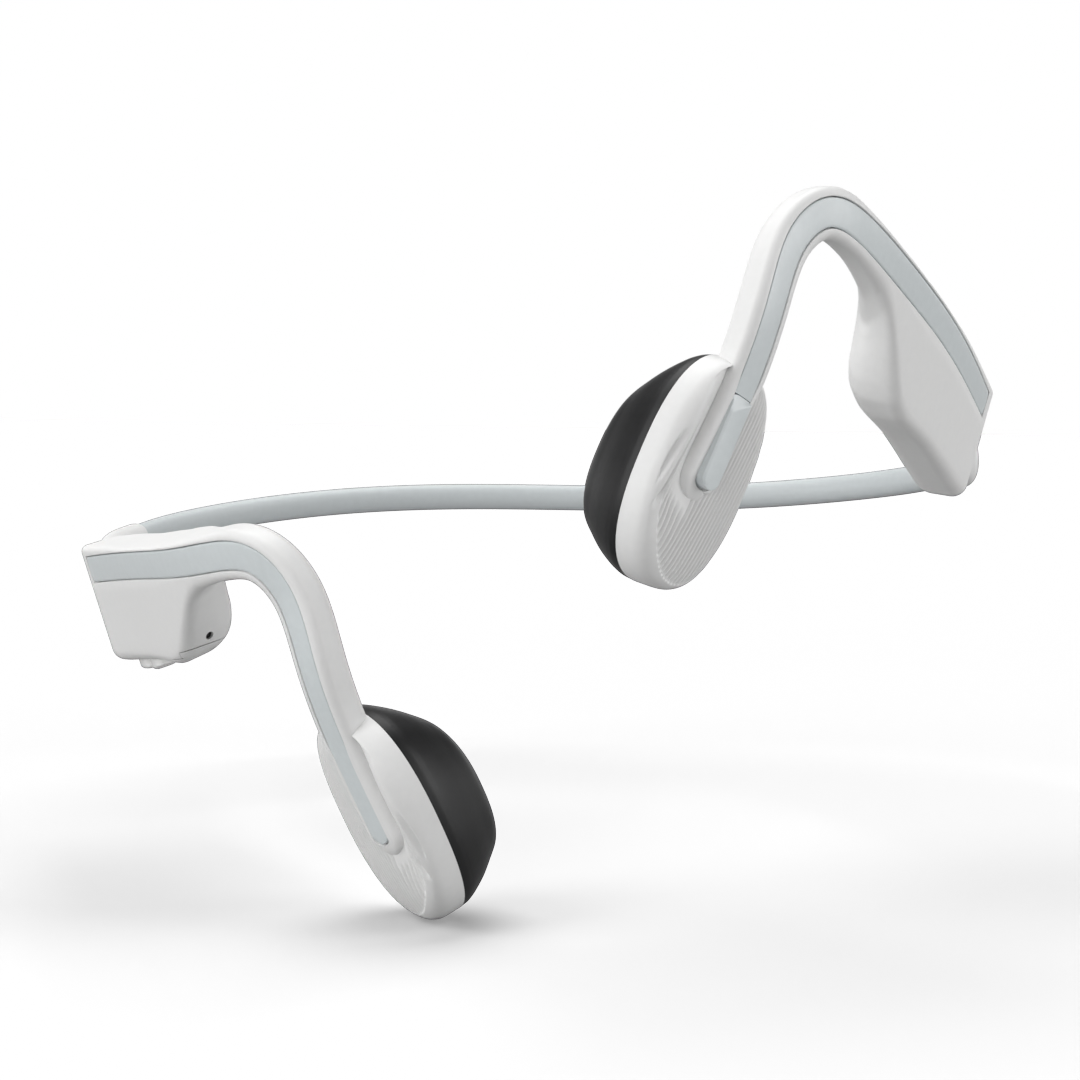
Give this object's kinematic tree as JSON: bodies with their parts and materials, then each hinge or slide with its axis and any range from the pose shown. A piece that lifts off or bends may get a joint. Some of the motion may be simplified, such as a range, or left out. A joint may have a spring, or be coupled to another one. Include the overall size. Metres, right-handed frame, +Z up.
{
  "type": "bone conduction headphones",
  "caption": "Open-ear headphones: springy neckband, rear housings, ear hooks with inlay strips, and oval transducer pods with dark soft pads.",
  "frame": {"origin": "middle of the neckband, where the wearer's nape is", "axes": "+X to the wearer's left, -Y towards the wearer's face, +Z up"},
  "size_m": [0.1512, 0.1467, 0.0996],
  "materials": {
    "band_silicone": "satin light blue-grey silicone",
    "spring_wire": "drawn titanium wire",
    "cable": "thin insulated cable",
    "strip": "satin light blue-grey",
    "pad": "dark charcoal, soft touch",
    "gasket": "soft sealing ring",
    "transducer_steel": "machined steel",
    "magnet": "nickel plated",
    "coil_copper": "enamelled copper winding",
    "vibration_plate": "black stiff plastic",
    "cell_foil": "foil pouch",
    "circuit_board": "green solder mask",
    "tinned_steel": "tinned sheet",
    "component": "moulded black",
    "button_gloss": "glossy white",
    "white_skin": "satin off-white soft skin"
  },
  "bodies": {
    "band_middle": {"band_sleeve_middle": "band_silicone", "band_wire_middle": "spring_wire", "band_cable_middle": "cable"},
    "left_link": {"left_band_sleeve_inner": "band_silicone", "left_band_wire_inner": "spring_wire", "left_band_cable_inner": "cable"},
    "right_link": {"right_band_sleeve_inner": "band_silicone", "right_band_wire_inner": "spring_wire", "right_band_cable_inner": "cable"},
    "left_side": {"left_band_sleeve": "band_silicone", "left_band_wire": "spring_wire", "left_band_cable": "cable", "left_housing_shell": "white_skin", "left_housing_cover": "white_skin", "left_hook_skin": "white_skin", "left_hook_wire": "spring_wire", "left_strip": "strip", "left_pod_shell": "white_skin", "left_pod_pad": "pad", "left_pod_gasket": "gasket", "left_yoke": "transducer_steel", "left_magnet": "magnet", "left_pole_plate": "transducer_steel", "left_voice_coil": "coil_copper", "left_suspension": "transducer_steel", "left_vibration_plate": "vibration_plate", "battery_cell": "cell_foil", "battery_board": "circuit_board", "multifunction_switch": "component"},
    "right_side": {"right_band_sleeve": "band_silicone", "right_band_wire": "spring_wire", "right_band_cable": "cable", "right_housing_shell": "white_skin", "right_housing_cover": "white_skin", "right_hook_skin": "white_skin", "right_hook_wire": "spring_wire", "right_strip": "strip", "right_pod_shell": "white_skin", "right_pod_pad": "pad", "right_pod_gasket": "gasket", "right_yoke": "transducer_steel", "right_magnet": "magnet", "right_pole_plate": "transducer_steel", "right_voice_coil": "coil_copper", "right_suspension": "transducer_steel", "right_vibration_plate": "vibration_plate", "main_board": "circuit_board", "shield_can": "tinned_steel", "charging_socket": "tinned_steel", "microphone": "component", "volume_switches": "component"},
    "multifunction_button": {"multifunction_button": "strip"},
    "volume_up_button": {"volume_up_button": "button_gloss"},
    "volume_down_button": {"volume_down_button": "button_gloss"},
    "port_cover": {"port_cover": "white_skin"}
  },
  "joints": [
    {"name": "left_twist", "type": "hinge", "parent": "band_middle", "child": "left_link", "pos_m": [0, 0, 0], "axis": [1, 0, 0], "range_deg": [-10, 30], "stiffness_Nm_per_rad": 0.12},
    {"name": "right_twist", "type": "hinge", "parent": "band_middle", "child": "right_link", "pos_m": [0, 0, 0], "axis": [1, 0, 0], "range_deg": [-30, 10], "stiffness_Nm_per_rad": 0.12},
    {"name": "left_spread", "type": "hinge", "parent": "left_link", "child": "left_side", "pos_m": [0.02081, -0.00245, 0.0002], "axis": [0, 0, 1], "range_deg": [-1.5, 24], "stiffness_Nm_per_rad": 0.35},
    {"name": "right_spread", "type": "hinge", "parent": "right_link", "child": "right_side", "pos_m": [-0.02081, -0.00245, -0.0002], "axis": [0, 0, 1], "range_deg": [-24, 1.5], "stiffness_Nm_per_rad": 0.35},
    {"name": "multifunction_press", "type": "hinge", "parent": "left_side", "child": "multifunction_button", "pos_m": [0.02512, -0.13678, 0.01923], "axis": [0.652, 0.6519, -0.3871], "range_deg": [0, 1.79], "stiffness_Nm_per_rad": 2, "springref_deg": -1.15},
    {"name": "volume_up_press", "type": "slide", "parent": "right_side", "child": "volume_up_button", "axis": [-0.2895, -0.0426, 0.9562], "range_m": [0, 0.0004], "stiffness_N_per_m": 2000, "springref_m": -0.0003},
    {"name": "volume_down_press", "type": "slide", "parent": "right_side", "child": "volume_down_button", "axis": [-0.2895, -0.0426, 0.9562], "range_m": [0, 0.0004], "stiffness_N_per_m": 2000, "springref_m": -0.0003},
    {"name": "port_cover_hinge", "type": "hinge", "parent": "right_side", "child": "port_cover", "pos_m": [-0.05429, -0.09522, -0.02071], "axis": [0.8612, 0.4244, 0.2797], "range_deg": [0, 100]}
  ],
  "couplings": [
    {"joint": "right_twist", "follows": "left_twist", "ratio": -1},
    {"joint": "right_spread", "follows": "left_spread", "ratio": -1}
  ]
}
